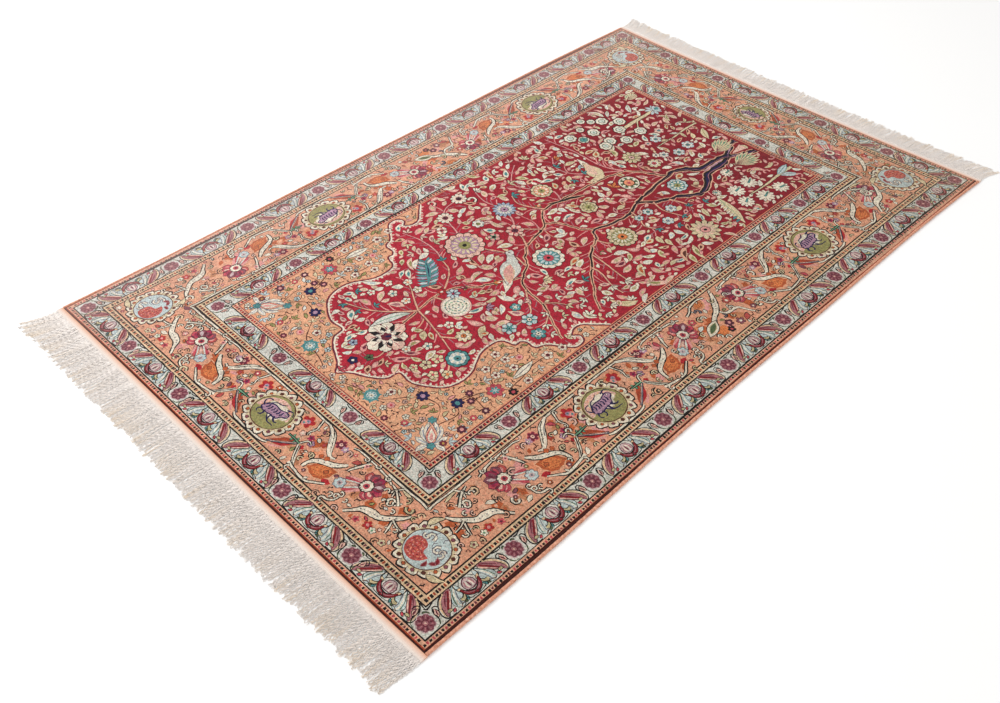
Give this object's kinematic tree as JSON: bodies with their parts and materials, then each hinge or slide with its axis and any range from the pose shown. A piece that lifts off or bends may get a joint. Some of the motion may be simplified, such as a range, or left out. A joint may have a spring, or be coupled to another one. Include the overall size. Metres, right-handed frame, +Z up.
{
  "type": "kayseri rug",
  "caption": "Hand-knotted silk prayer rug with a niche-and-tree field, flat-woven ends and fringes, lying flat on the floor.",
  "frame": {"origin": "on the floor, under the middle of the whole rug with its fringes", "axes": "+X across the rug, +Y along it from the near fringe to the far one, +Z up"},
  "size_m": [0.96, 1.6408, 0.0048],
  "materials": {
    "pile": "knotted silk pile with a soft sheen",
    "selvedge": "overcast salmon silk",
    "fringe": "undyed crimped silk warp"
  },
  "bodies": {
    "root": {"rug_pile": "pile", "selvedge_left": "selvedge", "selvedge_right": "selvedge", "fringe_near": "fringe", "fringe_far": "fringe"}
  },
  "joints": []
}
